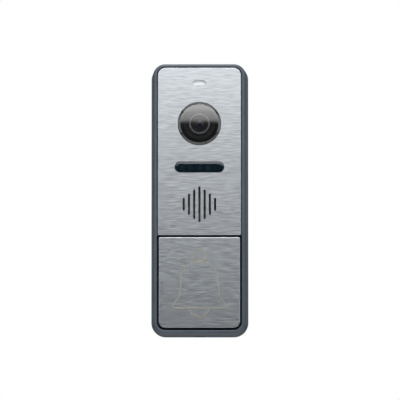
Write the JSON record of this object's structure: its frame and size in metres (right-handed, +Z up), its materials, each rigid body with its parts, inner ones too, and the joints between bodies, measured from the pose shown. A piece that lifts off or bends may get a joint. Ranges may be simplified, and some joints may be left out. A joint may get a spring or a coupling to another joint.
{
  "type": "video intercom call panel",
  "caption": "Slim wall-mounted outdoor video intercom panel with camera, infrared window, speaker grille and a large call button.",
  "frame": {"origin": "centre of the wall bracket's back face, on the wall plane", "axes": "+Z up along the panel's height, +Y into the wall, so the front faces -Y and +X is to the right seen from the front"},
  "size_m": [0.048, 0.0232, 0.135],
  "materials": {
    "housing_paint": "slate-grey satin powder coat on a die casting",
    "brushed_plate": "brushed across the width, satin",
    "foam_tape": "matt foam",
    "black_plastic": "moulded, fine texture",
    "camera_window": "polished, tinted",
    "smoked_window": "polished, infrared-passing tint",
    "coated_glass": "lens with a purple coating",
    "rubber_seal": "matt silicone",
    "chip_package": "moulded epoxy",
    "circuit_board": "solder mask",
    "white_diffuser": "milky light guide",
    "white_plastic": "moulded nylon",
    "switch_plastic": "moulded, blue",
    "woven_mesh": "fine black wire cloth",
    "zinc_steel": "zinc-plated pressed steel",
    "cone_film": "pressed film",
    "screw_steel": "stainless steel",
    "led_resin": "clear resin"
  },
  "bodies": {
    "panel": {"audio_chip": "chip_package", "board_ribbon": "white_plastic", "board_screw_1": "screw_steel", "board_screw_2": "screw_steel", "board_screw_3": "screw_steel", "board_screw_4": "screw_steel", "button_boot": "rubber_seal", "cable_grommet": "rubber_seal", "cable_header": "white_plastic", "camera_baffle": "black_plastic", "camera_board": "circuit_board", "camera_window": "camera_window", "camera_window_seal": "rubber_seal", "cover_screw_1": "screw_steel", "cover_screw_2": "screw_steel", "cover_screw_3": "screw_steel", "cover_screw_4": "screw_steel", "front_plate": "brushed_plate", "front_plate_tape": "foam_tape", "housing": "housing_paint", "image_sensor": "chip_package", "ir_led_1": "led_resin", "ir_led_2": "led_resin", "ir_led_3": "led_resin", "ir_led_4": "led_resin", "ir_led_5": "led_resin", "ir_led_board": "circuit_board", "ir_window": "smoked_window", "ir_window_seal": "rubber_seal", "lens_barrel": "black_plastic", "lens_glass": "coated_glass", "lens_holder": "black_plastic", "lock_relay": "chip_package", "locking_screw": "screw_steel", "main_board": "circuit_board", "microphone_boot": "rubber_seal", "microphone_capsule": "zinc_steel", "mode_switch_body": "switch_plastic", "power_capacitor": "zinc_steel", "rear_cover": "black_plastic", "rear_gasket": "rubber_seal", "return_spring_left": "screw_steel", "return_spring_right": "screw_steel", "speaker_frame": "zinc_steel", "speaker_gasket": "foam_tape", "speaker_magnet": "zinc_steel", "speaker_mesh": "woven_mesh", "status_led": "white_plastic", "status_light_guide": "white_diffuser", "switch_body": "chip_package", "volume_trimmer_body": "switch_plastic", "wall_bracket": "zinc_steel"},
    "call_button": {"button_plate": "brushed_plate", "button_tape": "foam_tape", "button_carrier": "black_plastic"},
    "switch_stem": {"switch_stem": "white_plastic"},
    "speaker_cone": {"speaker_cone": "cone_film"},
    "volume_rotor": {"volume_trimmer_rotor": "white_plastic"},
    "mode_slider_1": {"mode_slider_1": "white_plastic"},
    "mode_slider_2": {"mode_slider_2": "white_plastic"}
  },
  "joints": [
    {"name": "call_button_press", "type": "slide", "parent": "panel", "child": "call_button", "axis": [0, 1, 0], "range_m": [0, 0.001], "stiffness_N_per_m": 2000, "springref_m": -0.0005, "deforming": ["return_spring_left", "return_spring_right", "button_boot"]},
    {"name": "switch_stem_press", "type": "slide", "parent": "panel", "child": "switch_stem", "axis": [0, 1, 0], "range_m": [0, 0.0003]},
    {"name": "speaker_cone_stroke", "type": "slide", "parent": "panel", "child": "speaker_cone", "axis": [0, -1, 0], "range_m": [-0.0003, 0.0003], "stiffness_N_per_m": 1500},
    {"name": "volume_trim", "type": "hinge", "parent": "panel", "child": "volume_rotor", "pos_m": [0.006, -0.0029, -0.023], "axis": [0, 1, 0], "range_deg": [-135, 135]},
    {"name": "mode_1_slide", "type": "slide", "parent": "panel", "child": "mode_slider_1", "axis": [0, 0, 1], "range_m": [0, 0.0017]},
    {"name": "mode_2_slide", "type": "slide", "parent": "panel", "child": "mode_slider_2", "axis": [0, 0, 1], "range_m": [0, 0.0017]}
  ],
  "couplings": [
    {"joint": "switch_stem_press", "follows": "call_button_press", "ratio": 0.3}
  ]
}
